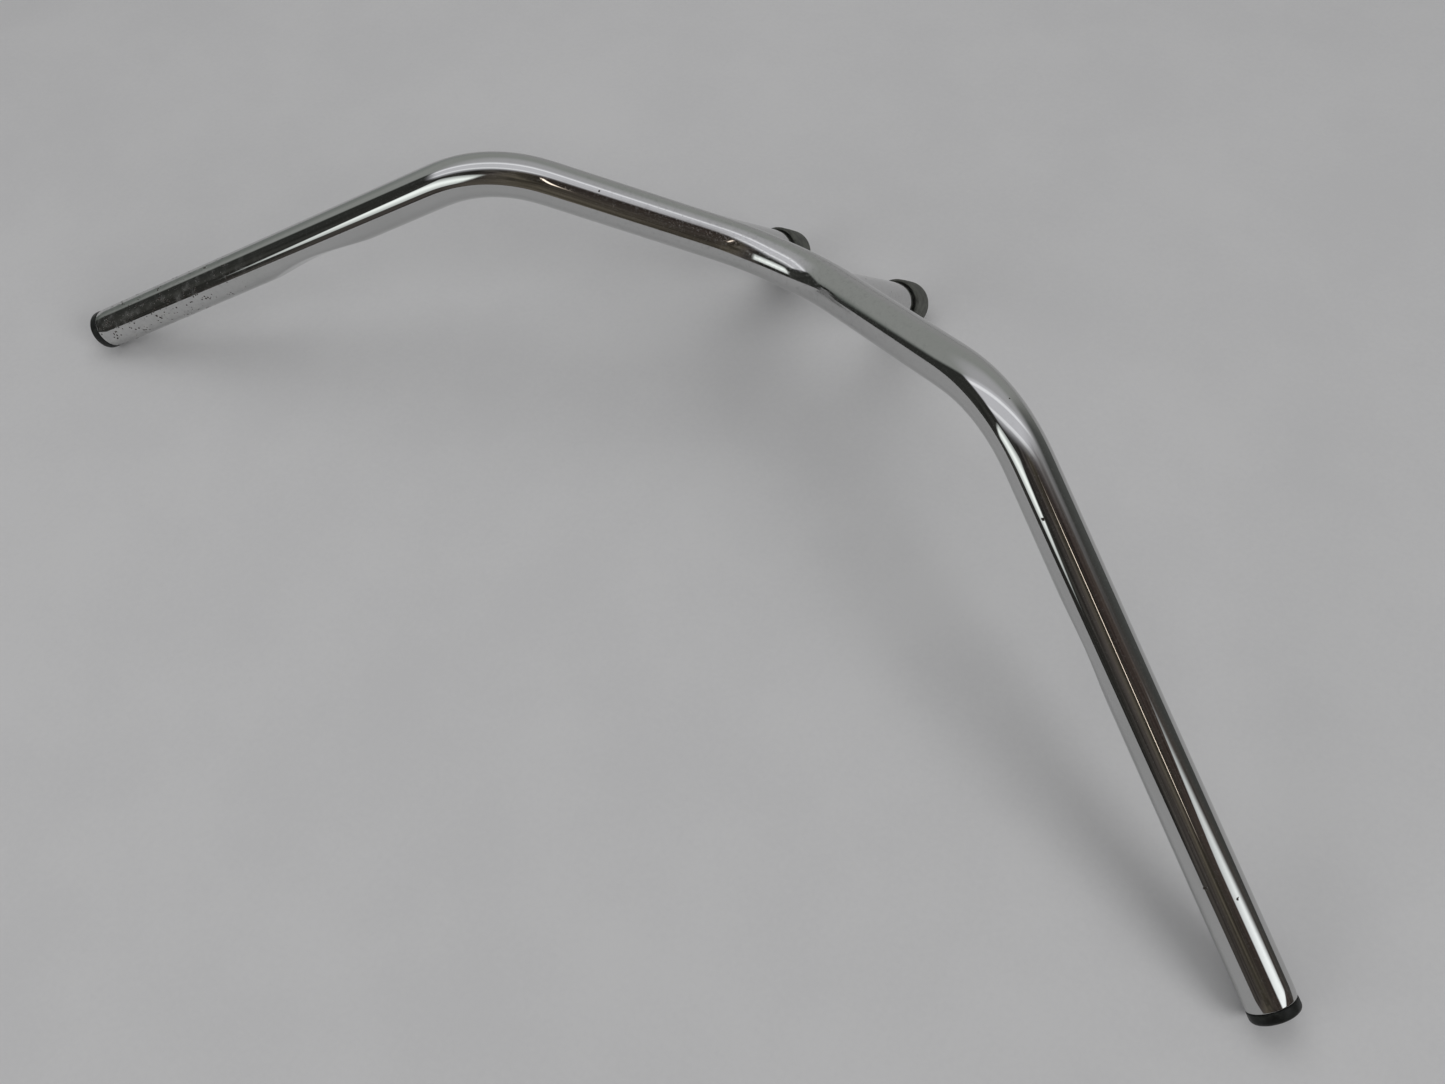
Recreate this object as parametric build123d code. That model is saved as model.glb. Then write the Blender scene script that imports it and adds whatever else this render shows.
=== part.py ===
from build123d import *
import os
from math import acos, cos, radians, sin, sqrt, tan

# Chromed cruiser handlebar: one bent tube on two welded riser posts, with rubber
# bushings under the posts and black plugs in the bar ends.
#
# It is drawn with the posts upright, in a drawing frame whose +X runs across the bike to
# one grip, -Z down the posts and -Y back towards the rider. The origin of that frame is
# the middle of the tube's centreline. The last step leans the whole bar back until it
# rests on the rims of its two plugs and two bushings, on the plane z = 0.

# tube
TUBE_RADIUS = 12.7
TUBE_WALL = 2.3
CENTRE_HALF_STRAIGHT = 4.0
INNER_BEND_RADIUS = 75.0
INNER_BEND_ANGLE = 28.2
ARM_LEAN = -8.0
ARM_STRAIGHT = 103.5
OUTER_BEND_RADIUS = 88.0
GRIP_SWEEP = 40.2
GRIP_RISE = 1.8
GRIP_STRAIGHT = 276.5

# wiring dent on each grip: distances are from the tube's end on the +X side, and the -X
# side's dent is pressed nearer to its own end
DENT_START = 149.5
DENT_DEEPEST = 182.5
DENT_END = 228.0
DENT_DEPTH = 3.0
DENT_TURN = 76.0
DENT_ENTRY_SLOPE = 0.12
DENT_EXIT_SLOPE = 0.05
DENT_CUTTER_RISE = 6.0
LEFT_DENT_OUTWARD = 8.5

# riser posts
RISER_SPACING = 88.9
POST_RADIUS = 12.6
POST_WALL = 2.6
POST_RIM_CHAMFER = 0.6
WELD_RADIUS = 7.0
WELD_STUB = 45.0

# threaded bung in each post, with the spigot that carries the bushing
INSERT_LENGTH = 38.0
INSERT_MOUTH_CHAMFER = 0.8
SPIGOT_RADIUS = 8.0
SPIGOT_RECESS = 1.0
THREAD_RADIUS = 5.4
THREAD_DEPTH = 45.0

# rubber bushing and its steel sleeve
BUSHING_RADIUS = 15.0
BUSHING_LENGTH = 25.5
BUSHING_EDGE = 1.2
BUSHING_GAP = 1.8
SLEEVE_WALL = 1.5

# bar-end plug
PLUG_FLANGE_RADIUS = 12.5
PLUG_FLANGE = 6.0
PLUG_EDGE = 2.2
PLUG_SHANK_RADIUS = 9.2
PLUG_SHANK_LENGTH = 26.0
PLUG_RIB_COUNT = 3
PLUG_RIB_PITCH = 7.0
PLUG_RIB_LENGTH = 3.0
PLUG_BORE_RADIUS = 6.4
PLUG_FLOOR = 3.0

# lean of the bar when it rests on a flat surface
REST_TILT = 43.0

# how the seam between a post and the bar is told from the other edges of the pair
SEAM_TOLERANCE = 0.01
SEAM_SAMPLES = (0.1, 0.5, 0.9)
RIM_CLEARANCE = 1.0

# how a round solid sits on the plane that it is drawn on
UPWARDS = (Align.CENTER, Align.CENTER, Align.MIN)
DOWNWARDS = (Align.CENTER, Align.CENTER, Align.MAX)


def unit_direction(across, back, up):
    return Vector(across, back, up).normalized()


# Directions of the arm and of the grip on the +X side.
arm_turn = radians(INNER_BEND_ANGLE)
arm_lean = radians(ARM_LEAN)
sweep_turn = radians(GRIP_SWEEP)
rise_turn = radians(GRIP_RISE)
arm_direction = unit_direction(
    cos(arm_turn), sin(arm_turn) * sin(arm_lean), sin(arm_turn) * cos(arm_lean)
)
grip_direction = unit_direction(
    cos(sweep_turn) * cos(rise_turn), -sin(sweep_turn) * cos(rise_turn), sin(rise_turn)
)

# Corners of the centreline, each one where two straight runs would meet.
outer_turn = acos(arm_direction.dot(grip_direction))
inner_tangent = INNER_BEND_RADIUS * tan(arm_turn / 2)
outer_tangent = OUTER_BEND_RADIUS * tan(outer_turn / 2)
inner_corner = Vector(CENTRE_HALF_STRAIGHT + inner_tangent, 0, 0)
outer_corner = inner_corner + arm_direction * (inner_tangent + ARM_STRAIGHT + outer_tangent)
tube_end = outer_corner + grip_direction * (outer_tangent + GRIP_STRAIGHT)

# Each post stands under the point where the arm's centreline passes over it.
post_x = RISER_SPACING / 2
post_top = inner_corner + arm_direction * ((post_x - inner_corner.X) / arm_direction.X)

# The posts are as long as it takes for their bushings to touch the same plane as the plugs.
tilt = radians(REST_TILT)
floor_normal = Vector(0, sin(tilt), cos(tilt))
plug_face = tube_end + grip_direction * PLUG_FLANGE
plug_edge_centre = plug_face - grip_direction * PLUG_EDGE
grip_dip = floor_normal.dot(grip_direction)
floor_level = (
    floor_normal.dot(plug_edge_centre)
    - (PLUG_FLANGE_RADIUS - PLUG_EDGE) * sqrt(1 - grip_dip**2)
    - PLUG_EDGE
)
bushing_edge_level = floor_level + BUSHING_EDGE + (BUSHING_RADIUS - BUSHING_EDGE) * sin(tilt)
bushing_end = (bushing_edge_level - post_top.Y * sin(tilt)) / cos(tilt) - BUSHING_EDGE
bushing_start = bushing_end + BUSHING_LENGTH
post_end = bushing_start + BUSHING_GAP


def round_bar(radius, length, bottom):
    """Solid cylinder on the +X post's axis, from bottom upwards."""
    return Pos(post_x, post_top.Y, bottom) * Cylinder(radius, length, align=UPWARDS)


def straight_run(radius, start, end):
    run = end - start
    return Plane(start, z_dir=run) * Cylinder(radius, run.length, align=UPWARDS)


def bend(radius, corner, before, after, bend_radius):
    """Bent rod that turns from one direction to the next around a corner of the centreline."""
    turn = before.get_angle(after)
    start = corner - before * (bend_radius * tan(radians(turn) / 2))
    inward = (after - before * before.dot(after)).normalized()
    hinge = Axis(start + inward * bend_radius, before.cross(after))
    return revolve(Plane(start, z_dir=before) * Circle(radius), hinge, turn)


def bent_rod(radius):
    """Round rod along the whole centreline of the bar."""
    inner_arc_end = inner_corner + arm_direction * inner_tangent
    outer_arc_start = outer_corner - arm_direction * outer_tangent
    outer_arc_end = outer_corner + grip_direction * outer_tangent
    half = straight_run(radius, Vector(0, 0, 0), Vector(CENTRE_HALF_STRAIGHT, 0, 0))
    half += bend(radius, inner_corner, Vector(1, 0, 0), arm_direction, INNER_BEND_RADIUS)
    half += straight_run(radius, inner_arc_end, outer_arc_start)
    half += bend(radius, outer_corner, arm_direction, grip_direction, OUTER_BEND_RADIUS)
    half += straight_run(radius, outer_arc_end, tube_end)
    return half + mirror(half, Plane.YZ)


def dent_plane():
    """Plane through the +X grip: x runs inboard from the tube's end, y out through the dent."""
    inboard = grip_direction * -1
    down = Vector(0, 0, -1)
    down = (down - inboard * down.dot(inboard)).normalized()
    rearward = inboard.cross(down).normalized()
    if rearward.Y > 0:
        rearward = rearward * -1
    outward = down * cos(radians(DENT_TURN)) + rearward * sin(radians(DENT_TURN))
    return Plane(tube_end, x_dir=inboard, z_dir=inboard.cross(outward))


def dent_cutter(radius, outward):
    """Block whose underside is the dented line of a wall of the given radius, moved outward."""
    start, deepest, end = DENT_START - outward, DENT_DEEPEST - outward, DENT_END - outward
    high = radius + DENT_CUTTER_RISE
    dented = Spline(
        (start, radius),
        (deepest, radius - DENT_DEPTH),
        (end, radius),
        tangents=[(1, -DENT_ENTRY_SLOPE), (1, DENT_EXIT_SLOPE)],
    )
    lid = Polyline((end, radius), (end, high), (start, high), (start, radius))
    profile = dent_plane() * make_face(dented + lid)
    return extrude(profile, amount=TUBE_RADIUS + DENT_CUTTER_RISE, both=True)


def dented_rod(radius):
    right_cutter = dent_cutter(radius, 0)
    left_cutter = mirror(dent_cutter(radius, LEFT_DENT_OUTWARD), Plane.YZ)
    return bent_rod(radius) - right_cutter - left_cutter


def handlebar_tube():
    return dented_rod(TUBE_RADIUS) - dented_rod(TUBE_RADIUS - TUBE_WALL)


def riser_post(bar):
    height = post_top.Z - post_end
    outside = round_bar(POST_RADIUS, height, post_end)
    rim = outside.edges().group_by(Axis.Z)[0]
    outside = chamfer(rim, POST_RIM_CHAMFER)
    return outside - round_bar(POST_RADIUS - POST_WALL, height, post_end) - bar


def riser_weld(bar):
    """Ground fillet all round the joint of the post and the bar, drawn on a stub of the post."""
    stub_end = post_top.Z - WELD_STUB
    stub = round_bar(POST_RADIUS, WELD_STUB, stub_end)
    edges = (bar + stub).edges().filter_by(on_post_wall)
    seam = edges.filter_by(lambda edge: edge.center().Z > stub_end + RIM_CLEARANCE)
    return fillet(seam, WELD_RADIUS) - bar - stub


def on_post_wall(edge):
    """True for an edge that runs round the post's wall."""
    for place in SEAM_SAMPLES:
        point = edge @ place
        away = sqrt((point.X - post_x) ** 2 + (point.Y - post_top.Y) ** 2)
        if abs(away - POST_RADIUS) > SEAM_TOLERANCE:
            return False
    return True


def riser_insert():
    spigot_end = bushing_end + SPIGOT_RECESS
    plug = round_bar(POST_RADIUS - POST_WALL, INSERT_LENGTH, post_end)
    spigot = round_bar(SPIGOT_RADIUS, post_end - spigot_end, spigot_end)
    bung = plug + spigot - round_bar(THREAD_RADIUS, THREAD_DEPTH, spigot_end)
    mouth = bung.edges().filter_by(GeomType.CIRCLE).group_by(Axis.Z)[0].sort_by(SortBy.RADIUS)[0]
    return chamfer(mouth, INSERT_MOUTH_CHAMFER)


def bushing_sleeve():
    outside = round_bar(SPIGOT_RADIUS + SLEEVE_WALL, BUSHING_LENGTH, bushing_end)
    return outside - round_bar(SPIGOT_RADIUS, BUSHING_LENGTH, bushing_end)


def riser_bushing():
    outside = round_bar(BUSHING_RADIUS, BUSHING_LENGTH, bushing_end)
    outside = fillet(outside.edges().filter_by(GeomType.CIRCLE), BUSHING_EDGE)
    return outside - round_bar(SPIGOT_RADIUS + SLEEVE_WALL, BUSHING_LENGTH, bushing_end)


def end_plug():
    """Plug drawn along +Z with the tube's end at z = 0, then set in the +X end."""
    flange = Cylinder(PLUG_FLANGE_RADIUS, PLUG_FLANGE, align=UPWARDS)
    flange = fillet(flange.edges().group_by(Axis.Z)[-1], PLUG_EDGE)
    plug = flange + Cylinder(PLUG_SHANK_RADIUS, PLUG_SHANK_LENGTH, align=DOWNWARDS)
    for number in range(PLUG_RIB_COUNT):
        rib = Cone(PLUG_SHANK_RADIUS, TUBE_RADIUS - TUBE_WALL, PLUG_RIB_LENGTH, align=UPWARDS)
        plug += Pos(0, 0, -PLUG_RIB_PITCH * (number + 1)) * rib
    bore_length = PLUG_SHANK_LENGTH + PLUG_FLANGE - PLUG_FLOOR
    bore = Cylinder(PLUG_BORE_RADIUS, bore_length, align=DOWNWARDS)
    plug -= Pos(0, 0, PLUG_FLANGE - PLUG_FLOOR) * bore
    return Plane(tube_end, z_dir=grip_direction) * plug


def drawn_parts():
    """Every part in the drawing frame, by node name."""
    bar = bent_rod(TUBE_RADIUS)
    parts = {"handlebar_tube": handlebar_tube()}
    right_hand = {
        "riser_post": riser_post(bar),
        "riser_weld": riser_weld(bar),
        "riser_insert": riser_insert(),
        "bushing_sleeve": bushing_sleeve(),
        "riser_bushing": riser_bushing(),
        "end_plug": end_plug(),
    }
    for name, part in right_hand.items():
        parts[name + "_right"] = part
        parts[name + "_left"] = mirror(part, Plane.YZ)
    return parts


def rested(parts):
    """Lean the bar back onto its rims, centred over the origin."""
    leaned = {name: Rot(X=REST_TILT) * part for name, part in parts.items()}
    box = Compound(children=[Part() + part for part in leaned.values()]).bounding_box()
    down = Pos(0, -box.center().Y, -box.min.Z)
    return {name: down * part for name, part in leaned.items()}


def main():
    os.makedirs("parts", exist_ok=True)
    for name, part in rested(drawn_parts()).items():
        export_step(part, f"parts/{name}.step")


main()
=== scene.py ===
from math import acos, cos, pi, radians, sin, sqrt, tan

import bpy
import numpy as np
from mathutils import Euler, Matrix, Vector


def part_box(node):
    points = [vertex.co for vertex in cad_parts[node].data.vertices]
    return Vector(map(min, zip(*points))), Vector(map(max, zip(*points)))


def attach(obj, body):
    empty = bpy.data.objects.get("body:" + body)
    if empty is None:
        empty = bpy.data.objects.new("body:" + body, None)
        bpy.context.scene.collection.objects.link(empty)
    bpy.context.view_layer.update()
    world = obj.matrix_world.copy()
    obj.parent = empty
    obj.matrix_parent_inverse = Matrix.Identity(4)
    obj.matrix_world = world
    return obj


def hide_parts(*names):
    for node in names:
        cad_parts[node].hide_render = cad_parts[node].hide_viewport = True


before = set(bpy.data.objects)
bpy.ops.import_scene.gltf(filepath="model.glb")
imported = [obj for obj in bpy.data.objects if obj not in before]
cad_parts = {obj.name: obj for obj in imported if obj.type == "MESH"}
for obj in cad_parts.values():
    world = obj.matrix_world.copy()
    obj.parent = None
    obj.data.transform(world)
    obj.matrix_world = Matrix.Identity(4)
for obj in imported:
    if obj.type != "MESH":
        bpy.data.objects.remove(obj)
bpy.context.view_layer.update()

# A chromed cruiser handlebar: one bent tube on two welded riser posts, with a threaded insert
# and a rubber bushing under each post and a plug in each end of the tube.
#
# Driving dimensions in millimetres, in the drawing frame of the CAD model: +X to one grip,
# -Z down the risers, the origin at the middle of the tube's centreline.

# tube
TUBE_RADIUS = 12.7
TUBE_WALL = 2.3
CENTRE_HALF_STRAIGHT = 4.0
INNER_BEND_RADIUS = 75.0
INNER_BEND_ANGLE = 28.2
ARM_LEAN = -8.0
ARM_STRAIGHT = 103.5
OUTER_BEND_RADIUS = 88.0
GRIP_SWEEP = 40.2
GRIP_RISE = 1.8
GRIP_STRAIGHT = 276.5

# wiring dent on each grip, by distance from the tube's end on the +X side
DENT_START = 149.5
DENT_DEEPEST = 182.5
DENT_END = 228.0
DENT_DEPTH = 3.0
DENT_TURN = 76.0
DENT_ENTRY_SLOPE = 0.12
DENT_EXIT_SLOPE = 0.05
LEFT_DENT_OUTWARD = 8.5

# riser posts and their welds
RISER_SPACING = 88.9
POST_RADIUS = 12.6
POST_WALL = 2.6
POST_RIM = 0.6
WELD_RADIUS = 7.0

# threaded insert and the spigot on it
INSERT_LENGTH = 38.0
INSERT_CHAMFER = 0.8
INSERT_MOUTH_CHAMFER = 0.8
SHOULDER_CHAMFER = 0.6
SPIGOT_RADIUS = 8.0
SPIGOT_RECESS = 1.0
SPIGOT_CHAMFER = 0.5
THREAD_RADIUS = 5.4
THREAD_PITCH = 1.95
THREAD_CUT = 0.75
THREAD_RUNOUT = 0.4

# rubber bushing and its sleeve
BUSHING_RADIUS = 15.0
BUSHING_LENGTH = 25.5
BUSHING_EDGE = 1.2
BUSHING_GAP = 1.8
SLEEVE_WALL = 1.5

# bar-end plug
PLUG_FLANGE_RADIUS = 12.5
PLUG_FLANGE = 6.0
PLUG_EDGE = 2.2
PLUG_SHANK_RADIUS = 9.2
PLUG_SHANK_LENGTH = 26.0
PLUG_RIB_COUNT = 3
PLUG_RIB_PITCH = 7.0
PLUG_RIB_LENGTH = 3.0
PLUG_BORE_RADIUS = 6.4
PLUG_FLOOR = 3.0

# lean of the bar when it rests on a flat surface
REST_TILT = 43.0

# gap that keeps a piece's skin off the wall it fits against
FIT_GAP = 0.02
MM = 0.001


# ---------------------------------------------------------------- centreline of the tube

CENTRELINE_STEP = 0.5
BEND_EASING = 5.0


def unit(vectors):
    vectors = np.asarray(vectors, float)
    return vectors / np.linalg.norm(vectors, axis=-1, keepdims=True)


turn, lean = radians(INNER_BEND_ANGLE), radians(ARM_LEAN)
sweep, rise = radians(GRIP_SWEEP), radians(GRIP_RISE)
ACROSS = np.array([1.0, 0.0, 0.0])
ARM = unit([cos(turn), sin(turn) * sin(lean), sin(turn) * cos(lean)])
GRIP = unit([cos(sweep) * cos(rise), -sin(sweep) * cos(rise), sin(rise)])
inner_tangent = INNER_BEND_RADIUS * tan(turn / 2)
outer_tangent = OUTER_BEND_RADIUS * tan(acos(ARM @ GRIP) / 2)
INNER_CORNER = ACROSS * (CENTRE_HALF_STRAIGHT + inner_tangent)
OUTER_CORNER = INNER_CORNER + ARM * (inner_tangent + ARM_STRAIGHT + outer_tangent)
TUBE_END = OUTER_CORNER + GRIP * (outer_tangent + GRIP_STRAIGHT)
POST_X = RISER_SPACING / 2
POST_TOP = INNER_CORNER + ARM * ((POST_X - INNER_CORNER[0]) / ARM[0])


def arc(corner, before, after, radius):
    """Points round a corner of the centreline, from one tangent point to the other."""
    angle = acos(before @ after)
    start = corner - before * (radius * tan(angle / 2))
    inward = unit(after - before * (before @ after))
    a = np.linspace(0, angle, int(radius * angle / CENTRELINE_STEP))[:, None]
    return start + radius * (np.sin(a) * before + (1 - np.cos(a)) * inward)


def interpolated(wanted, distances, vectors):
    """Vectors that are known at some distances, interpolated at others."""
    return np.stack([np.interp(wanted, distances, vectors[:, i]) for i in range(3)], 1)


def half_centreline():
    """Evenly spaced points from the middle to the +X end, and each one's distance from the middle."""
    points = np.concatenate([
        np.zeros((1, 3)),
        arc(INNER_CORNER, ACROSS, ARM, INNER_BEND_RADIUS),
        arc(OUTER_CORNER, ARM, GRIP, OUTER_BEND_RADIUS),
        TUBE_END[None],
    ])
    run = np.concatenate([[0], np.cumsum(np.linalg.norm(np.diff(points, axis=0), axis=1))])
    even = np.linspace(0, run[-1], int(run[-1] / CENTRELINE_STEP) + 1)
    return interpolated(even, run, points), even


def bell(width, reach):
    """Weights that average neighbouring values, as a bell curve of that width in values."""
    weights = np.exp(-0.5 * (np.arange(-reach, reach + 1) / width) ** 2)
    return weights / weights.sum()


def eased(points, width):
    """Points smoothed along their run, as a bender eases into and out of a bend; both ends stay."""
    reach = int(3 * width)
    head = points[1 : reach + 1][::-1] * [-1, 1, 1]
    tail = points[-1] + (points[-1] - points[-reach - 1 : -1])[::-1]
    padded = np.concatenate([head, points, tail])
    return np.stack([np.convolve(padded[:, i], bell(width, reach), "valid") for i in range(3)], 1)


half_points, half_run = half_centreline()
half_points = eased(half_points, BEND_EASING / CENTRELINE_STEP)
half_slopes = unit(np.gradient(half_points, half_run, axis=0))
half_slopes[0] = ACROSS
HALF_LENGTH = half_run[-1]


def centreline(stations):
    """(points, tangents) at signed distances from the middle; the -X half mirrors the +X half."""
    side = np.where(stations < 0, -1.0, 1.0)
    points = interpolated(np.abs(stations), half_run, half_points)
    tangents = unit(interpolated(np.abs(stations), half_run, half_slopes))
    points[:, 0] *= side
    tangents[:, 1:] *= side[:, None]
    return points, tangents


def side_vectors(tangents):
    """A vector across the tube at each station, carried from the middle outwards without twisting."""
    across = np.zeros_like(tangents)
    middle = len(tangents) // 2
    across[middle] = (0, 0, 1)
    steps = [(i - 1, i) for i in range(middle + 1, len(tangents))]
    steps += [(i + 1, i) for i in range(middle - 1, -1, -1)]
    for before, here in steps:
        carried = across[before]
        across[here] = unit(carried - tangents[here] * (carried @ tangents[here]))
    return across


# ---------------------------------------------------------------- how the bar rests

TILT = radians(REST_TILT)
LEANED = np.array([[1, 0, 0], [0, cos(TILT), -sin(TILT)], [0, sin(TILT), cos(TILT)]])

# The rims of the plugs rest on z = 0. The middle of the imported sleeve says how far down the
# risers the bushings are, and how far along Y the bar lies.
grip_dip = (LEANED @ GRIP)[2]
plug_rim = LEANED @ (TUBE_END + GRIP * (PLUG_FLANGE - PLUG_EDGE))
lift = (PLUG_FLANGE_RADIUS - PLUG_EDGE) * sqrt(1 - grip_dip**2) + PLUG_EDGE - plug_rim[2]
sleeve_low, sleeve_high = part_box("bushing_sleeve_right")
sleeve_middle = (sleeve_low + sleeve_high) / 2 / MM
bushing_middle = (sleeve_middle.z - lift - sin(TILT) * POST_TOP[1]) / cos(TILT)
forward = sleeve_middle.y - cos(TILT) * POST_TOP[1] + sin(TILT) * bushing_middle
SETTLED = np.array([0.0, forward, lift])

BUSHING_FOOT = bushing_middle - BUSHING_LENGTH / 2
BUSHING_TOP = bushing_middle + BUSHING_LENGTH / 2
POST_FOOT = BUSHING_TOP + BUSHING_GAP
SPIGOT_FOOT = BUSHING_FOOT + SPIGOT_RECESS


def rested(points):
    """Drawing frame in millimetres to the row frame in metres."""
    return (np.asarray(points) @ LEANED.T + SETTLED) * MM


# ---------------------------------------------------------------- meshes

def facing_out(vertices, faces):
    """The faces of a closed mesh of quads, turned round if they enclose a negative volume."""
    a, b, c, d = np.asarray(vertices)[np.array(faces)].transpose(1, 0, 2)
    volume = (a * (np.cross(b, c) + np.cross(c, d))).sum()
    return faces if volume > 0 else [tuple(reversed(face)) for face in faces]


def new_piece(name, vertices, faces, node, slot, smooth_angle=30, normals=None):
    """One visible piece in place of a CAD node; normals, where given, has one vector per vertex."""
    faces = facing_out(vertices, faces)
    mesh = bpy.data.meshes.new(name)
    mesh.from_pydata([tuple(v) for v in vertices], [], faces)
    mesh.update()
    mesh.shade_smooth()
    mesh.set_sharp_from_angle(angle=radians(smooth_angle))
    if normals is not None:
        mesh.normals_split_custom_set([tuple(normals[v]) for face in faces for v in face])
    piece = bpy.data.objects.new(name, mesh)
    bpy.context.collection.objects.link(piece)
    mesh.materials.append(materials[slot])
    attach(piece, "root")
    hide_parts(node)


def turns(around):
    return np.linspace(0, 2 * pi, around, endpoint=False)


def circle(radius, height, around):
    """A ring of points round an axis; the radius and the height may change from point to point."""
    angles = turns(around)
    return np.stack(np.broadcast_arrays(radius * np.cos(angles), radius * np.sin(angles), height), 1)


def ring_faces(rings, around, closed):
    """Quads between rings of vertices; closed joins the last ring to the first."""
    faces = []
    for i in range(rings if closed else rings - 1):
        low, high = i * around, (i + 1) % rings * around
        for j in range(around):
            k = (j + 1) % around
            faces.append((low + j, low + k, high + k, high + j))
    return faces


def skinned(rings):
    """(vertices, faces) of the closed surface through the rings, in order and back to the first."""
    return np.concatenate(rings), ring_faces(len(rings), len(rings[0]), True)


def mirrored(vectors):
    return np.asarray(vectors) * [-1, 1, 1]


def lathe(profile, place, around=96):
    """A closed profile of (radius, height) turned round an axis, and moved to where place puts it."""
    vertices, faces = skinned([circle(radius, height, around) for radius, height in profile])
    return place(vertices), faces


def rounded(centre_r, centre_z, radius, first, last, steps=8):
    """Profile points on a quarter round, by angle from the outward direction."""
    angles = np.radians(np.linspace(first, last, steps))
    return [(centre_r + radius * cos(a), centre_z + radius * sin(a)) for a in angles]


# ---------------------------------------------------------------- handlebar tube

TUBE_AROUND = 128
TUBE_END_EDGE = 0.7

# the tube is rolled in slightly over this length of each end
END_ROLL = 0.42
END_ROLL_LENGTH = 7.5

# how far apart the tube's rings are: at its end edges, near its ends, where it bends or is
# dented, and elsewhere
EDGE_STEP, END_STEP, CURVED_STEP, PLAIN_STEP = 0.12, 0.6, 1.2, 3.0


def hermite(x, x0, x1, y0, y1, slope0, slope1):
    """Cubic from (x0, y0) to (x1, y1) with those slopes at its ends."""
    width = x1 - x0
    t = np.clip((x - x0) / width, 0, 1)
    return ((2 * t**3 - 3 * t**2 + 1) * y0 + (t**3 - 2 * t**2 + t) * width * slope0
            + (-2 * t**3 + 3 * t**2) * y1 + (t**3 - t**2) * width * slope1)


def dent_depths(from_end, step=0.5, softening=2.5, softening_reach=8.0):
    """Depth of the pressed dent at each distance from the tube's end, softened along the tube."""
    fine = np.arange(0, GRIP_STRAIGHT, step)
    entry = hermite(fine, DENT_START, DENT_DEEPEST, 0, DENT_DEPTH, DENT_ENTRY_SLOPE, 0)
    way_out = hermite(fine, DENT_DEEPEST, DENT_END, DENT_DEPTH, 0, 0, -DENT_EXIT_SLOPE)
    depth = np.where(fine < DENT_DEEPEST, entry, way_out)
    depth[(fine < DENT_START) | (fine > DENT_END)] = 0
    depth = np.convolve(depth, bell(softening / step, int(softening_reach / step)), "same")
    return np.interp(from_end, fine, depth)


def dent_direction():
    """Outward through the dent on the +X grip."""
    down = np.array([0.0, 0.0, -1.0])
    down = unit(down - GRIP * (down @ GRIP))
    rearward = unit(np.cross(-GRIP, down))
    if rearward[1] > 0:
        rearward = -rearward
    return down * cos(radians(DENT_TURN)) + rearward * sin(radians(DENT_TURN))


def tube_stations(edge=1.2, end=9.0, margin=10.0):
    """Distances from the middle, closer together where the shape changes quickly."""
    marks = [0.0]
    while marks[-1] < HALF_LENGTH:
        left = HALF_LENGTH - marks[-1]
        dented = DENT_START - 2 * margin < left < DENT_END + margin
        if left < edge:
            step = EDGE_STEP
        elif left < end:
            step = END_STEP
        elif dented or left > GRIP_STRAIGHT - margin:
            step = CURVED_STEP
        else:
            step = PLAIN_STEP
        marks.append(min(marks[-1] + step, HALF_LENGTH))
    marks = np.array(marks)
    return np.concatenate([-marks[:0:-1], marks])


def excess(over, give, far=30):
    """How far a height is over a limit, eased in over about give on both sides of it."""
    ratio = over / give
    eased_in = give * np.log1p(np.exp(np.clip(ratio, -far, far)))
    return np.where(ratio > far, over, eased_in)


def tube_mesh(dent_blend=0.25, inner_every=6):
    """The hollow tube: its outer rings from end to end, and back through fewer inner ones."""
    stations = tube_stations()
    points, tangents = centreline(stations)
    up = side_vectors(tangents)
    side = np.cross(tangents, up)
    angles = turns(TUBE_AROUND)[None, :, None]
    out = np.cos(angles) * up[:, None] + np.sin(angles) * side[:, None]
    from_end = HALF_LENGTH - np.abs(stations)

    radius = TUBE_RADIUS - END_ROLL * np.clip(1 - from_end / END_ROLL_LENGTH, 0, 1) ** 2
    edge = np.clip(TUBE_END_EDGE - from_end, 0, TUBE_END_EDGE)
    radius -= TUBE_END_EDGE - np.sqrt(TUBE_END_EDGE**2 - edge**2)
    outer = out * radius[:, None, None]

    left = stations < 0
    depth = dent_depths(from_end + np.where(left, LEFT_DENT_OUTWARD, 0.0))[:, None]
    outward = np.where(left[:, None], mirrored(dent_direction()), dent_direction())
    height = np.einsum("sak,sk->sa", outer, outward)
    pressed = excess(height - (TUBE_RADIUS - depth), np.maximum(dent_blend * depth, 1e-6))
    pressed = (pressed * (depth > 1e-4))[..., None] * outward[:, None]

    inside = np.append(np.arange(0, len(stations) - 1, inner_every), len(stations) - 1)
    outer = outer - pressed + points[:, None]
    inner = (out * (TUBE_RADIUS - TUBE_WALL) - pressed + points[:, None])[inside]
    return skinned(np.concatenate([outer, inner[::-1]]))


def tube_vertex(vertices, along, around):
    """The outer vertex nearest to a distance from the middle and a turn in degrees from the top."""
    ring = np.abs(tube_stations() - along).argmin()
    return vertices[ring * TUBE_AROUND + round(around / 360 * TUBE_AROUND) % TUBE_AROUND]


# ---------------------------------------------------------------- risers

# How much of the centreline the risers can meet, and how far below and above the point where a
# riser's axis meets it the edges of the post and the weld are looked for.
RISER_REACH = 130.0
SEARCH_BELOW = 45.0
SEARCH_ABOVE = 14.0
SEARCH_HALVINGS = 50


def on_post_axis(vertices):
    """From a riser's own axis, with the drawing frame's heights, to the drawing frame."""
    return vertices + np.array([POST_X, POST_TOP[1], 0.0])


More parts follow.
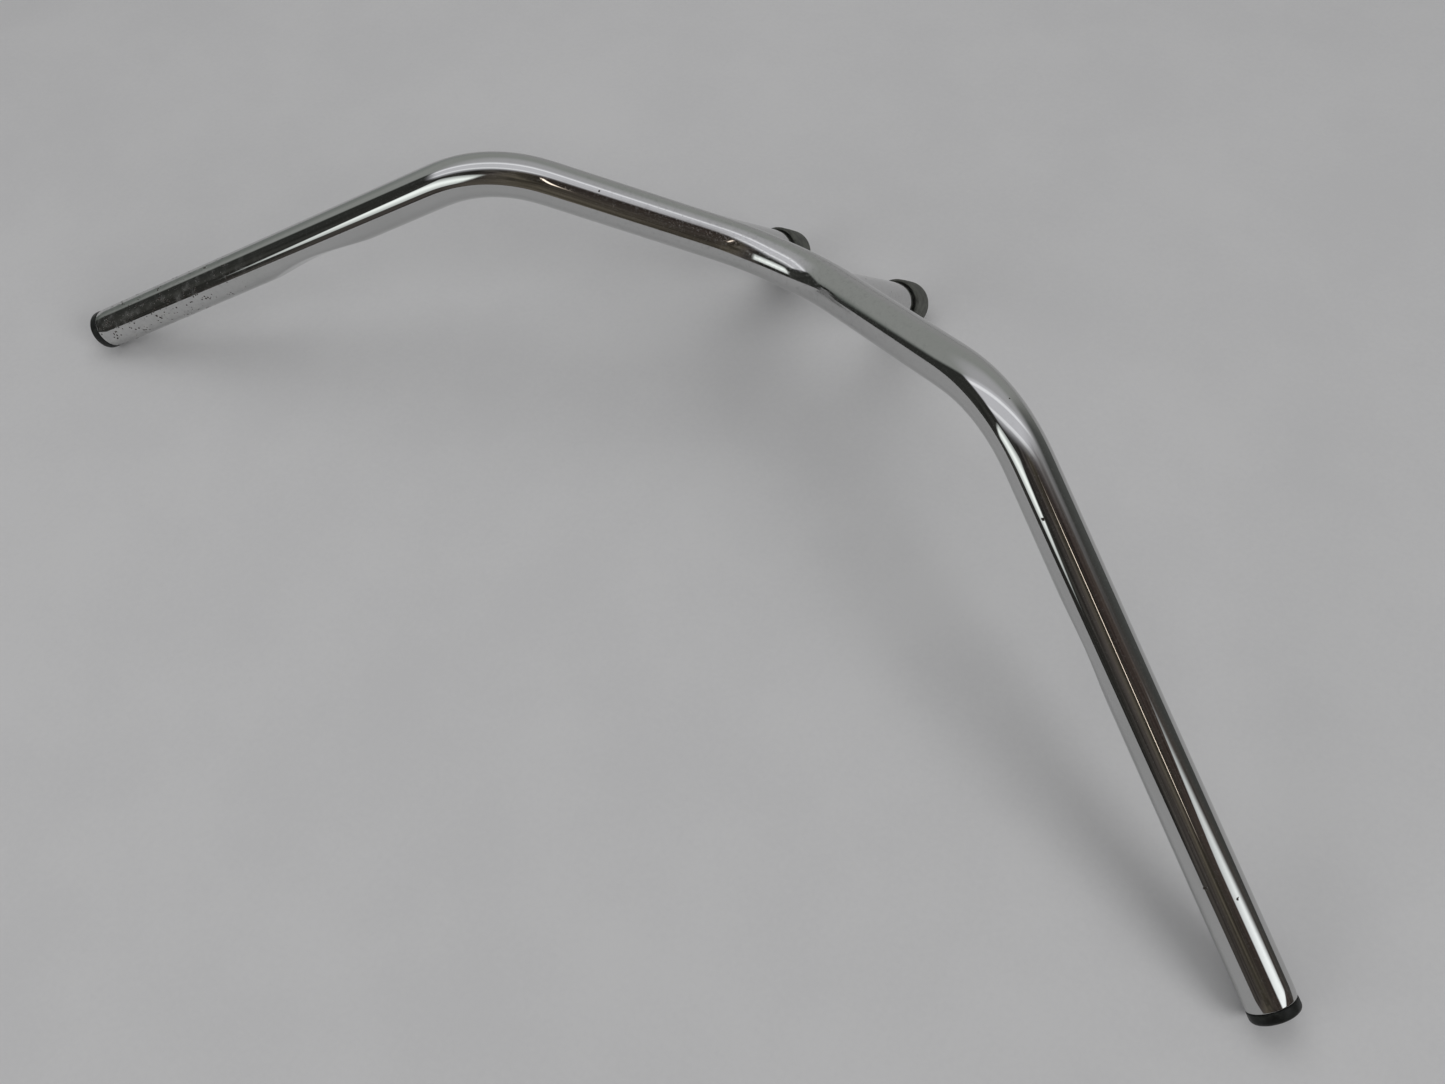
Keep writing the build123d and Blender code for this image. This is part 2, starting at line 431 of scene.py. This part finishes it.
def tube_gap(points):
    """(distance from the tube's centreline, nearest point of it) for each point, near the +X riser."""
    line = half_points[half_run < RISER_REACH]
    nearest = np.argmin(((points[:, None] - line[None]) ** 2).sum(-1), 1)
    best = line[nearest]
    for before in (1, 0):
        first = np.clip(nearest - before, 0, len(line) - 2)
        start, way = line[first], line[first + 1] - line[first]
        t = np.clip(((points - start) * way).sum(1) / (way * way).sum(1), 0, 1)
        candidate = start + t[:, None] * way
        closer = ((points - candidate) ** 2).sum(1) < ((points - best) ** 2).sum(1)
        best = np.where(closer[:, None], candidate, best)
    return np.linalg.norm(points - best, axis=1), best


def under_tube(radius, clearance, around):
    """Height at which each line down the riser, at that radius, is that far from the centreline."""
    lines = on_post_axis(circle(radius, 0.0, around))
    lines[:, 2] = POST_TOP[2]
    low = np.full(around, POST_TOP[2] - SEARCH_BELOW)
    high = np.minimum(POST_TOP[2] + SEARCH_ABOVE, tube_gap(lines)[1][:, 2])
    for _ in range(SEARCH_HALVINGS):
        lines[:, 2] = half = (low + high) / 2
        near = tube_gap(lines)[0] < clearance
        high, low = np.where(near, half, high), np.where(near, low, half)
    return (low + high) / 2


def post_mesh(around=128, sunk=0.4, inner_rim=0.3):
    """Hollow post, sunk a little into the tube, with a rounded rim over the bushing."""
    inner_radius = POST_RADIUS - POST_WALL
    top = under_tube(POST_RADIUS, TUBE_RADIUS - sunk, around)
    inner_top = under_tube(inner_radius, TUBE_RADIUS - sunk, around)
    bottom = POST_FOOT + POST_RIM
    rings = [circle(POST_RADIUS, top + (bottom - top) * t, around) for t in np.linspace(0, 1, 16)]
    profile = rounded(POST_RADIUS - POST_RIM, bottom, POST_RIM, 0, -90, 7)[1:]
    profile += [(inner_radius + inner_rim, POST_FOOT), (inner_radius, POST_FOOT + inner_rim)]
    profile += [(inner_radius, inner_top)]
    rings += [circle(radius, height, around) for radius, height in profile]
    vertices, faces = skinned(rings)
    return on_post_axis(vertices), faces


def weld_mesh(around=160, steps=14, buried=1.0):
    """Rolling-ball fillet between riser and tube, closed by a strip buried in both, and its normals."""
    radial = circle(1.0, 0.0, around)
    centre_radius = POST_RADIUS + WELD_RADIUS
    centre_height = under_tube(centre_radius, TUBE_RADIUS + WELD_RADIUS, around)
    centres = on_post_axis(circle(centre_radius, centre_height, around))
    to_tube = unit(tube_gap(centres)[1] - centres)
    to_post = -radial
    between = np.arccos(np.clip((to_tube * to_post).sum(1), -1, 1))
    rings, normals = [], []
    for t in np.linspace(0, 1, steps):
        way = unit(np.sin((1 - t) * between)[:, None] * to_tube + np.sin(t * between)[:, None] * to_post)
        rings.append(centres + WELD_RADIUS * way)
        normals.append(-way)
    rings += [rings[-1] + to_post * buried, rings[0] + to_tube * buried]
    normals += [to_post, to_tube]
    vertices, faces = skinned(rings)
    return vertices, faces, np.concatenate(normals)


def insert_mesh(around=72, steps_per_pitch=6):
    """Threaded insert: its outside, then the thread, a helix cut outwards from the bore."""
    wall = POST_RADIUS - POST_WALL - FIT_GAP
    top = POST_FOOT + INSERT_LENGTH
    thread_foot, thread_top = SPIGOT_FOOT + INSERT_MOUTH_CHAMFER, top - THREAD_RUNOUT
    profile = [
        (THREAD_RADIUS, top),
        (wall - INSERT_CHAMFER, top),
        (wall, top - INSERT_CHAMFER),
        (wall, POST_FOOT + SHOULDER_CHAMFER),
        (wall - SHOULDER_CHAMFER, POST_FOOT),
        (SPIGOT_RADIUS, POST_FOOT),
        (SPIGOT_RADIUS, SPIGOT_FOOT + SPIGOT_CHAMFER),
        (SPIGOT_RADIUS - SPIGOT_CHAMFER, SPIGOT_FOOT),
        (THREAD_RADIUS + 0.9, SPIGOT_FOOT),
        (THREAD_RADIUS + 0.1, thread_foot),
    ]
    height = thread_foot
    while height < thread_top:
        phase = (height / THREAD_PITCH + turns(around) / (2 * pi)) % 1
        cut = THREAD_CUT * min(1, (height - thread_foot) / THREAD_PITCH, (thread_top - height) / THREAD_PITCH)
        profile.append((THREAD_RADIUS + cut * (1 - np.abs(2 * phase - 1)), height))
        height += THREAD_PITCH / steps_per_pitch
    return lathe(profile, on_post_axis, around)


def bushing_profile(chamfer=0.5, swell=0.14, pinch=0.16, pinch_width=0.35):
    """Moulded rubber ring.

    Its top has a groove round the foot of the post, its wall swells slightly and is pinched at the
    parting line, and its foot has a fine groove round the sleeve.
    """
    top, foot, edge = BUSHING_TOP, BUSHING_FOOT, BUSHING_EDGE
    bore = SPIGOT_RADIUS + SLEEVE_WALL
    wall = BUSHING_RADIUS - swell
    groove_in, groove_out, groove_floor = POST_RADIUS - 1.6, POST_RADIUS + 0.5, top - 3.0
    profile = [(bore, top - chamfer), (bore + chamfer, top), (groove_in - 0.4, top), (groove_in, top - 0.4),
               (groove_in, groove_floor), (groove_out - 0.3, groove_floor), (groove_out, top - chamfer),
               (groove_out + 0.25, top)]
    profile += rounded(wall - edge, top - edge, edge, 90, 0)[:-1]
    for t in np.linspace(0, 1, 33):
        line = pinch * np.exp(-(((t - 0.5) * (top - foot)) / pinch_width) ** 2)
        profile.append((wall + swell * sin(pi * t) - line, top - edge + (foot - top + 2 * edge) * t))
    profile += rounded(wall - edge, foot + edge, edge, 0, -90)[1:]
    profile += [(bore + 3.0, foot), (bore + 2.6, foot + 0.25), (bore + 2.0, foot + 0.25),
                (bore + 1.6, foot), (bore + chamfer, foot), (bore, foot + chamfer)]
    return profile


def plug_profile(pinhole=0.02, seat=0.12):
    """Bar-end plug along its axis: dished face, rounded rim, an undercut at the tube, ribbed shank."""
    flange, face = PLUG_FLANGE_RADIUS, PLUG_FLANGE
    shank, shank_end = PLUG_SHANK_RADIUS, -PLUG_SHANK_LENGTH
    rib = TUBE_RADIUS - TUBE_WALL - FIT_GAP
    profile = [(pinhole, face - 0.5), (3.0, face - 0.48), (6.0, face - 0.4), (7.6, face - 0.2),
               (8.4, face - 0.03), (9.2, face)]
    profile += rounded(flange - PLUG_EDGE, face - PLUG_EDGE, PLUG_EDGE, 90, 0, 12)
    profile += [(flange, 2.4), (flange - 0.02, 1.2), (flange - 0.1, 0.5), (flange - 0.45, 0.25),
                (flange - 0.6, seat), (shank, seat)]
    for number in range(1, PLUG_RIB_COUNT + 1):
        rib_foot = -PLUG_RIB_PITCH * number
        rib_top = rib_foot + PLUG_RIB_LENGTH
        profile += [(shank, rib_top + 0.1), (rib, rib_top), (shank, rib_foot)]
    profile += [(shank, shank_end), (PLUG_BORE_RADIUS, shank_end), (PLUG_BORE_RADIUS, face - PLUG_FLOOR),
                (pinhole, face - PLUG_FLOOR)]
    return profile[::-1]


def in_tube_end(vertices):
    """From the +X plug's own axis, whose heights run outwards from the tube's end, to the drawing frame."""
    x_way = unit(np.cross([0, 0, 1], GRIP))
    y_way = np.cross(GRIP, x_way)
    return TUBE_END + vertices @ np.stack([x_way, y_way, GRIP])


# ---------------------------------------------------------------- materials

# sockets of a Mix node that mixes colours
MIX_FACTOR, MIX_A, MIX_B, MIX_RESULT = 0, 6, 7, 2


class Tree:
    """Short forms for building a material's node tree."""

    def __init__(self, name):
        self.material = bpy.data.materials.new(name)
        self.material.use_nodes = True
        self.nodes = self.material.node_tree.nodes
        self.links = self.material.node_tree.links
        self.shader = self.nodes["Principled BSDF"]

    def feed(self, socket, value):
        """Link a socket to another one, or set its own value."""
        if isinstance(value, bpy.types.NodeSocket):
            self.links.new(value, socket)
        else:
            socket.default_value = value

    def add(self, kind, links=None, **settings):
        """A new node; settings are its own, or the values of its sockets."""
        node = self.nodes.new("ShaderNode" + kind)
        for name, value in settings.items():
            if name in node.inputs:
                node.inputs[name].default_value = value
            else:
                setattr(node, name, value)
        for name, source in (links or {}).items():
            self.links.new(source, node.inputs[name])
        return node

    def place(self):
        return self.add("TexCoord").outputs["Object"]

    def noise(self, where, scale, detail=3.0, rough=0.55):
        node = self.add("TexNoise", {"Vector": where}, Scale=scale, Detail=detail, Roughness=rough)
        return node.outputs["Fac"]

    def spread(self, value, low, high, to_low=0.0, to_high=1.0, smooth=True):
        """Value remapped from low..high to to_low..to_high, and held at both ends."""
        node = self.add("MapRange", {"Value": value})
        node.interpolation_type = "SMOOTHSTEP" if smooth else "LINEAR"
        bounds = {"From Min": low, "From Max": high, "To Min": to_low, "To Max": to_high}
        for name, bound in bounds.items():
            node.inputs[name].default_value = bound
        return node.outputs["Result"]

    def math(self, operation, *values):
        node = self.add("Math", operation=operation)
        for socket, value in zip(node.inputs, values):
            self.feed(socket, value)
        return node.outputs[0]

    def plus(self, a, b):
        return self.math("ADD", a, b)

    def minus(self, a, b):
        return self.math("SUBTRACT", a, b)

    def times(self, *values):
        product = values[0]
        for value in values[1:]:
            product = self.math("MULTIPLY", product, value)
        return product

    def most(self, a, b):
        return self.math("MAXIMUM", a, b)

    def mix(self, factor, a, b):
        """Colours a and b, or sockets, mixed by factor."""
        node = self.add("Mix", data_type="RGBA")
        for socket, value in ((MIX_FACTOR, factor), (MIX_A, a), (MIX_B, b)):
            self.feed(node.inputs[socket], value)
        return node.outputs[MIX_RESULT]

    def ramp(self, value, stops):
        """A colour ramp through (place, colour) stops."""
        node = self.add("ValToRGB", {"Fac": value})
        elements = node.color_ramp.elements
        elements[0].position, elements[-1].position = stops[0][0], stops[-1][0]
        elements[0].color, elements[-1].color = (*stops[0][1], 1), (*stops[-1][1], 1)
        for place, tint in stops[1:-1]:
            elements.new(place).color = (*tint, 1)
        return node.outputs["Color"]

    def bump(self, height, distance, strength=1.0, normal=None):
        links = {"Height": height}
        if normal is not None:
            links["Normal"] = normal
        return self.add("Bump", links, Distance=distance, Strength=strength).outputs["Normal"]

    def finish(self, **sockets):
        """Feed the shader's sockets, by name with _ for a space."""
        for name, value in sockets.items():
            self.feed(self.shader.inputs[name.replace("_", " ")], value)
        return self.material


# chips in the chrome: distance along the tube from its middle in mm, turn round it in degrees
# from its top, and how far the chip reaches in mm
CHROME_CHIPS = [(239, 0, 1.0), (425, 6, 1.2), (434, 312, 0.8), (-114, 335, 0.7), (182, 304, 0.6)]


def chrome(chips):
    """Old bright chrome, slightly hazed all over.

    Mottling is strongest at the middle of the bar and near the -X end, where pits and a dull cloud
    gather too. A little dust lies on what faces up. chips lists (place, reach) of spots that go
    through to the rust.
    """
    t = Tree("chrome")
    where = t.place()
    x = t.add("SeparateXYZ", {"Vector": where}).outputs["X"]
    facing_up = t.add("SeparateXYZ", {"Vector": t.add("NewGeometry").outputs["Normal"]}).outputs["Z"]

    patches = t.noise(where, 22, 4)
    fine = t.noise(where, 900, 2)
    haze = t.spread(patches, 0.42, 0.78)
    middle = t.spread(t.math("ABSOLUTE", x), 0.03, 0.16, 1, 0)
    settled_dust = t.times(t.spread(facing_up, 0.1, 1.0), t.spread(fine, 0.5, 0.75))

    cells = t.add("TexVoronoi", {"Vector": where}, Scale=480.0, Randomness=1.0).outputs["Distance"]
    pit_size = t.spread(t.noise(where, 140, 2), 0.35, 0.70, 0.05, 0.42)
    left_end = t.spread(x, -0.26, -0.34)
    scattered = t.spread(t.noise(where, 14, 3), 0.6, 0.72)
    density = t.most(t.times(left_end, 0.9), t.times(scattered, 0.55))
    pit = t.math("LESS_THAN", cells, t.times(pit_size, density))
    ragged = t.noise(where, 900, 3)
    for spot, reach in chips:
        apart = t.add("VectorMath", {0: where}, operation="DISTANCE")
        apart.inputs[1].default_value = spot
        edge = t.spread(ragged, 0.3, 0.7, 0.45 * reach, 1.25 * reach)
        pit = t.most(pit, t.math("LESS_THAN", apart.outputs["Value"], edge))

    dust = t.times(settled_dust, t.plus(t.times(middle, 0.30), 0.10))
    cloud = t.times(left_end, t.spread(t.noise(where, 150, 4), 0.45, 0.75, 0.0, 0.34))
    dust = t.most(dust, cloud)
    colour = t.mix(haze, (0.560, 0.561, 0.557, 1), (0.535, 0.540, 0.530, 1))
    mottle = t.spread(t.noise(where, 330, 5, 0.7), 0.48, 0.78)
    mottle = t.times(mottle, t.plus(t.most(middle, left_end), 0.25), 0.45)
    colour = t.mix(mottle, colour, (0.36, 0.355, 0.36, 1))
    colour = t.mix(dust, colour, (0.60, 0.60, 0.57, 1))
    colour = t.mix(pit, colour, (0.035, 0.028, 0.022, 1))
    rough = t.plus(t.spread(haze, 0, 1, 0.018, 0.045), t.times(middle, 0.05))
    rough = t.plus(rough, t.times(dust, 0.5))
    rough = t.most(rough, t.times(pit, 0.7))
    metal = t.minus(1.0, t.most(t.times(dust, 0.45), pit))
    normal = t.bump(t.times(pit, -1.0), 0.00006)
    normal = t.bump(t.noise(where, 55, 2), 0.00002, 1.0, normal)
    return t.finish(Base_Color=colour, Roughness=rough, Metallic=metal, Normal=normal)


def steel():
    """Dull plated steel with brown blotches and a fine grain."""
    t = Tree("insert_steel")
    where = t.place()
    blotch = t.noise(where, 160, 4)
    grain = t.noise(where, 2200, 2)
    colour = t.mix(t.spread(blotch, 0.35, 0.7), (0.42, 0.41, 0.38, 1), (0.24, 0.21, 0.17, 1))
    rough = t.spread(t.plus(t.times(grain, 0.4), t.times(blotch, 0.6)), 0.3, 0.7, 0.28, 0.55)
    metal = t.spread(blotch, 0.45, 0.8, 1.0, 0.6)
    return t.finish(Base_Color=colour, Roughness=rough, Metallic=metal, Normal=t.bump(grain, 0.00004))


def rubber():
    """Dusty black rubber: patches of grey bloom, paler specks of dust and a fine grain."""
    t = Tree("bushing_rubber")
    where = t.place()
    bloom = t.noise(where, 260, 4)
    grain = t.noise(where, 2600, 3)
    colour = t.mix(t.spread(bloom, 0.3, 0.7), (0.050, 0.052, 0.046, 1), (0.125, 0.130, 0.115, 1))
    colour = t.mix(t.spread(grain, 0.55, 0.8, 0, 0.5), colour, (0.19, 0.19, 0.17, 1))
    rough = t.spread(bloom, 0.3, 0.7, 0.62, 0.85)
    normal = t.bump(bloom, 0.00025, 1.0, t.bump(grain, 0.00010))
    return t.finish(Base_Color=colour, Roughness=rough, Normal=normal, Specular_IOR_Level=0.35)


def plastic():
    """Worn black plastic: satin, scuffed grey in places, with a fine grain."""
    t = Tree("plug_plastic")
    where = t.place()
    wear = t.noise(where, 210, 5, 0.65)
    grain = t.noise(where, 3000, 2)
    colour = t.mix(t.spread(wear, 0.5, 0.8), (0.008, 0.009, 0.008, 1), (0.032, 0.036, 0.031, 1))
    rough = t.spread(wear, 0.35, 0.7, 0.34, 0.62)
    normal = t.bump(wear, 0.00012, 1.0, t.bump(grain, 0.00006))
    return t.finish(Base_Color=colour, Roughness=rough, Normal=normal, Specular_IOR_Level=0.3)


# ---------------------------------------------------------------- the pieces

tube_points, tube_faces = tube_mesh()
tube_vertices = rested(tube_points)
chips = [(tube_vertex(tube_vertices, along, around), reach * MM) for along, around, reach in CHROME_CHIPS]
materials = {
    "chrome": chrome(chips),
    "insert_steel": steel(),
    "bushing_rubber": rubber(),
    "plug_plastic": plastic(),
}
new_piece("tube_skin", tube_vertices, tube_faces, "handlebar_tube", "chrome", 40)

# what there is one of on each side: its slot, its mesh and, for the weld, its normals
paired_pieces = {
    "riser_post": ("chrome", *post_mesh(), None),
    "riser_insert": ("insert_steel", *insert_mesh(), None),
    "riser_bushing": ("bushing_rubber", *lathe(bushing_profile(), on_post_axis), None),
    "end_plug": ("plug_plastic", *lathe(plug_profile(), in_tube_end), None),
    "riser_weld": ("chrome", *weld_mesh()),
}
for side in ("right", "left"):
    for name, (slot, vertices, faces, normals) in paired_pieces.items():
        if side == "left":
            vertices = mirrored(vertices)
            normals = None if normals is None else mirrored(normals)
        if normals is not None:
            normals = normals @ LEANED.T
        new_piece(f"{name}_skin_{side}", rested(vertices), faces, f"{name}_{side}", slot, normals=normals)

for name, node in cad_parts.items():
    if name.startswith("bushing_sleeve"):
        node.data.materials.clear()
        node.data.materials.append(materials["insert_steel"])


# ---------------------------------------------------------------- floor, room and light

# kinds of ray that don't see what only reflections show
REFLECTED_ONLY = ("camera", "diffuse", "shadow", "transmission", "volume_scatter")


def stage_mesh(name, vertices, faces, material, hidden_from):
    """Something that is not part of the object, hidden from some kinds of ray."""
    mesh = bpy.data.meshes.new(name)
    mesh.from_pydata([tuple(v) for v in vertices], [], faces)
    mesh.materials.append(material)
    thing = bpy.data.objects.new(name, mesh)
    bpy.context.collection.objects.link(thing)
    for ray in hidden_from:
        setattr(thing, "visible_" + ray, False)
    return thing


def paper():
    """Plain pale paper: a slow mottle and fine fibres."""
    t = Tree("paper")
    where = t.place()
    mottle = t.noise(where, 9, 5, 0.6)
    fibre = t.noise(where, 320, 3)
    tone = t.plus(t.times(mottle, 0.7), t.times(fibre, 0.3))
    colour = t.mix(t.spread(tone, 0.35, 0.65), (0.735, 0.735, 0.742, 1), (0.770, 0.770, 0.775, 1))
    normal = t.bump(fibre, 0.0002, 0.5)
    return t.finish(Base_Color=colour, Roughness=0.85, Normal=normal, Specular_IOR_Level=0.2)


def sheet(name, x0, x1, y0, y1, z, material, hidden_from):
    """A level sheet of the floor."""
    corners = [(x0, y0, z), (x1, y0, z), (x1, y1, z), (x0, y1, z)]
    stage_mesh(name, corners, [(0, 1, 2, 3)], material, hidden_from)


def emitter(name):
    """An emission-only tree, and its emission node."""
    t = Tree(name)
    t.nodes.remove(t.shader)
    glow = t.add("Emission")
    t.links.new(glow.outputs[0], t.nodes["Material Output"].inputs[0])
    t.material.cycles.emission_sampling = "NONE"
    return t, glow


def soft_panel(name, corners, colour, strength, profile, edges):
    """A soft-edged bright panel that only reflections see.

    corners run bottom left, bottom right, top right, top left. profile lists (height, brightness).
    edges says how much of the width fades at the left, how much of it at the right, and how much
    of the height at each end.
    """
    t, glow = emitter(name)
    axes = t.add("SeparateXYZ", {"Vector": t.add("TexCoord").outputs["UV"]})
    across, up = axes.outputs["X"], axes.outputs["Y"]
    left, right, ends = edges
    fade = t.times(t.spread(across, 0, left), t.spread(across, 1, 1 - right))
    fade = t.times(fade, t.times(t.spread(up, 0, ends), t.spread(up, 1, 1 - ends)))
    stops = [(place, [brightness * channel for channel in colour]) for place, brightness in profile]
    t.links.new(t.ramp(up, stops), glow.inputs["Color"])
    glow.inputs["Strength"].default_value = strength
    clear = t.add("BsdfTransparent")
    blend = t.add("MixShader", {0: fade, 1: clear.outputs[0], 2: glow.outputs[0]})
    t.links.new(blend.outputs[0], t.nodes["Material Output"].inputs[0])
    panel = stage_mesh(name, corners, [(0, 1, 2, 3)], t.material, REFLECTED_ONLY)
    layer = panel.data.uv_layers.new(name="Panel")
    for loop, uv in zip(layer.data, [(0, 0), (1, 0), (1, 1), (0, 1)]):
        loop.uv = uv


# The walls' tones at their foot, by turn: 0 is -Y, 0.25 is -X, 0.5 is +Y and 0.75 is +X.
WALL_TONES = [
    (0.0, (0.075, 0.066, 0.060)),
    (0.06, (0.04, 0.04, 0.036)),
    (0.203, (0.035, 0.037, 0.034)),
    (0.216, (0.115, 0.132, 0.118)),
    (0.25, (0.165, 0.182, 0.170)),
    (0.285, (0.235, 0.252, 0.240)),
    (0.33, (0.31, 0.325, 0.315)),
    (0.42, (0.37, 0.37, 0.37)),
    (0.525, (0.34, 0.345, 0.335)),
    (0.548, (0.20, 0.205, 0.195)),
    (0.58, (0.11, 0.115, 0.110)),
    (0.64, (0.070, 0.072, 0.068)),
    (0.72, (0.075, 0.060, 0.052)),
    (0.80, (0.060, 0.046, 0.040)),
    (0.90, (0.050, 0.042, 0.036)),
    (0.955, (0.105, 0.092, 0.070)),
    (1.0, (0.075, 0.066, 0.060)),
]
LIFTED_WALL = (0.355, 0.368, 0.352, 1)
HIGH_WALL = (0.53, 0.53, 0.545, 1)
GREY_WALL_WAY = (-0.55, 0.83)

# The ceiling is laid out on a plane one unit overhead. Its strips run along a level direction
# that is turned this far from +X, and each is (middle, half of its bright width, half of its
# whole width) across that direction.
STRIP_TURN = radians(30)
STRIP_WAY = (cos(STRIP_TURN), sin(STRIP_TURN))
ACROSS_STRIPS = (-sin(STRIP_TURN), cos(STRIP_TURN))
CUT_CORNER_WAY = (0.655, -0.755)
CEILING_STRIPS = [(0.2035, 0.025, 0.075), (-0.240, 0.030, 0.085)]
CEILING = (0.79, 0.79, 0.83, 1)
CEILING_STRIP = (1.22, 1.23, 1.27, 1)


def along(t, x, y, way):
    """How far the point (x, y) lies along a level direction."""
    return t.plus(t.times(x, way[0]), t.times(y, way[1]))


def room_walls(t, where, x, y, z):
    """Pale grey walls on the -X and +Y sides, and dark, uneven ones on the others."""
    turn = t.spread(t.math("ARCTAN2", x, y), -pi, pi, smooth=False)
    walls = t.ramp(turn, WALL_TONES)
    grey_side = t.spread(along(t, x, y, GREY_WALL_WAY), -0.25, 0.1)
    west_and_north = t.times(t.spread(turn, 0.200, 0.222), t.spread(turn, 0.56, 0.49))
    walls = t.mix(t.times(t.spread(z, 0.08, 0.38), west_and_north), walls, LIFTED_WALL)
    walls = t.mix(t.times(t.spread(z, 0.55, 0.85), grey_side), walls, HIGH_WALL)
    clutter = t.spread(t.noise(where, 0.35, 4, 0.6), 0.35, 0.65, 0.55, 1.45)
    shade = t.mix(grey_side, clutter, (1, 1, 1, 1))
    return t.add("VectorMath", {0: walls, "Scale": shade}, operation="SCALE").outputs[0]


def room_ceiling(t, x, y, z):
    """(how much of the ceiling covers each direction, its colour there)."""
    up = t.most(z, 0.02)
    east, north = t.math("DIVIDE", x, up), t.math("DIVIDE", y, up)
    lengthwise = along(t, east, north, STRIP_WAY)
    crosswise = along(t, east, north, ACROSS_STRIPS)
    cover = t.times(
        t.spread(crosswise, -0.68, -0.14),
        t.spread(crosswise, 0.42, 0.26),
        t.spread(east, 0.70, 0.12),
        t.spread(along(t, east, north, CUT_CORNER_WAY), 0.47, 0.16),
        t.spread(lengthwise, -1.40, -1.12),
    )
    strips = [
        t.spread(t.math("ABSOLUTE", t.minus(crosswise, middle)), whole, bright)
        for middle, bright, whole in CEILING_STRIPS
    ]
    return cover, t.mix(t.most(*strips), CEILING, CEILING_STRIP)


def dome(radius=12.0, around=96, rows=48):
    """The room round the bar, seen only in reflections."""
    t, glow = emitter("room")
    where = t.place()
    way = t.add("VectorMath", {0: where}, operation="NORMALIZE")
    axes = t.add("SeparateXYZ", {"Vector": way.outputs[0]})
    x, y, z = (axes.outputs[name] for name in "XYZ")
    walls = room_walls(t, where, x, y, z)
    cover, ceiling = room_ceiling(t, x, y, z)
    t.links.new(t.mix(cover, walls, ceiling), glow.inputs["Color"])
    vertices = []
    for elevation in np.linspace(-pi / 2, pi / 2, rows + 1):
        vertices.extend(radius * circle(cos(elevation), sin(elevation), around))
    stage_mesh("room", vertices, ring_faces(rows + 1, around, False), t.material, REFLECTED_ONLY)


def heading(azimuth, elevation):
    """Unit vector: azimuth in degrees from +Y towards +X, elevation above the horizon."""
    a, e = radians(azimuth), radians(elevation)
    return np.array([cos(e) * sin(a), cos(e) * cos(a), sin(e)])


def area_light(name, place, aim, size, power):
    """A light for the floor and the dull surfaces, which reflections don't show."""
    light = bpy.data.lights.new(name, "AREA")
    light.shape = "RECTANGLE"
    light.size, light.size_y = size
    light.energy = power
    lamp = bpy.data.objects.new(name, light)
    lamp.location = place
    lamp.rotation_euler = (Vector(aim) - Vector(place)).to_track_quat("-Z", "Y").to_euler()
    lamp.visible_glossy = False
    bpy.context.collection.objects.link(lamp)


# The floor that is seen goes on past the view; the one that the chrome reflects ends sooner.
floor_paper = paper()
sheet("floor", -9, 9, -9, 9, 0, floor_paper, ("glossy",))
sheet("floor_reflected", -1.2, 0.62, -0.80, 1.6, 0.0002, floor_paper, REFLECTED_ONLY)

dome()
soft_panel(
    "window_south",
    corners=[(-0.65, -0.9, 0.22), (-0.11, -0.9, 0.25), (-0.11, -0.9, 0.88), (-0.65, -0.9, 0.84)],
    colour=(0.95, 1.0, 0.97),
    strength=1.66,
    profile=[(0.0, 0.40), (0.156, 0.62), (0.25, 0.77), (0.34, 0.92), (0.44, 1.0), (0.53, 0.87),
             (0.625, 0.72), (0.72, 0.58), (0.81, 0.45), (0.90, 0.33), (1.0, 0.18)],
    edges=(0.12, 0.12, 0.06),
)
soft_panel(
    "window_east",
    corners=[(1.0, -0.41, 0.31), (1.0, 0.20, 0.27), (1.0, 0.20, 0.82), (1.0, -0.41, 0.88)],
    colour=(0.96, 1.0, 1.0),
    strength=1.62,
    profile=[(0.0, 0.9), (0.15, 1.0), (0.35, 0.95), (0.5, 0.83), (0.65, 0.70), (0.8, 0.6), (1.0, 0.42)],
    edges=(0.16, 0.42, 0.07),
)
LAMP_AWAY = 5.0
LAMP_HALF_WIDTH = 0.08
lamp_low, lamp_high = LAMP_AWAY * heading(149, 43), LAMP_AWAY * heading(144, 65)
lamp_side = unit(np.cross(lamp_high - lamp_low, lamp_low)) * LAMP_HALF_WIDTH
soft_panel(
    "lamp",
    corners=[lamp_low - lamp_side, lamp_low + lamp_side, lamp_high + lamp_side, lamp_high - lamp_side],
    colour=(1.0, 0.86, 0.72),
    strength=2.6,
    profile=[(0.0, 1.0), (1.0, 1.0)],
    edges=(0.3, 0.3, 0.25),
)

world = bpy.data.worlds.new("studio")
bpy.context.scene.world = world
world.use_nodes = True
background = world.node_tree.nodes["Background"]
background.inputs["Color"].default_value = (0.95, 0.95, 0.955, 1)
background.inputs["Strength"].default_value = 0.235

area_light("overhead", place=(-0.45, 0.35, 1.4), aim=(-0.2, 0.2, 0), size=(1.5, 1.2), power=4.4)
area_light("from_south", place=(-0.6, -1.3, 0.8), aim=(-0.1, 0.1, 0), size=(0.9, 0.7), power=3.2)
area_light("from_east", place=(2.2, -0.25, 1.35), aim=(0, 0, 0), size=(1.25, 1.25), power=17.0)


# ---------------------------------------------------------------- camera

camera_data = bpy.data.cameras.new("camera")
camera_data.lens = 31.4445
camera_data.sensor_width = 36.0
camera_data.clip_start = 0.01
camera_data.clip_end = 50
camera = bpy.data.objects.new("camera", camera_data)
camera.location = (0.277672, -0.363737, 0.642134)
camera.rotation_euler = Euler([radians(angle) for angle in (30.8214, 3.1001, 33.3838)], "XYZ")
bpy.context.collection.objects.link(camera)
bpy.context.scene.camera = camera
bpy.context.scene.view_settings.view_transform = "Standard"
bpy.context.scene.view_settings.look = "None"
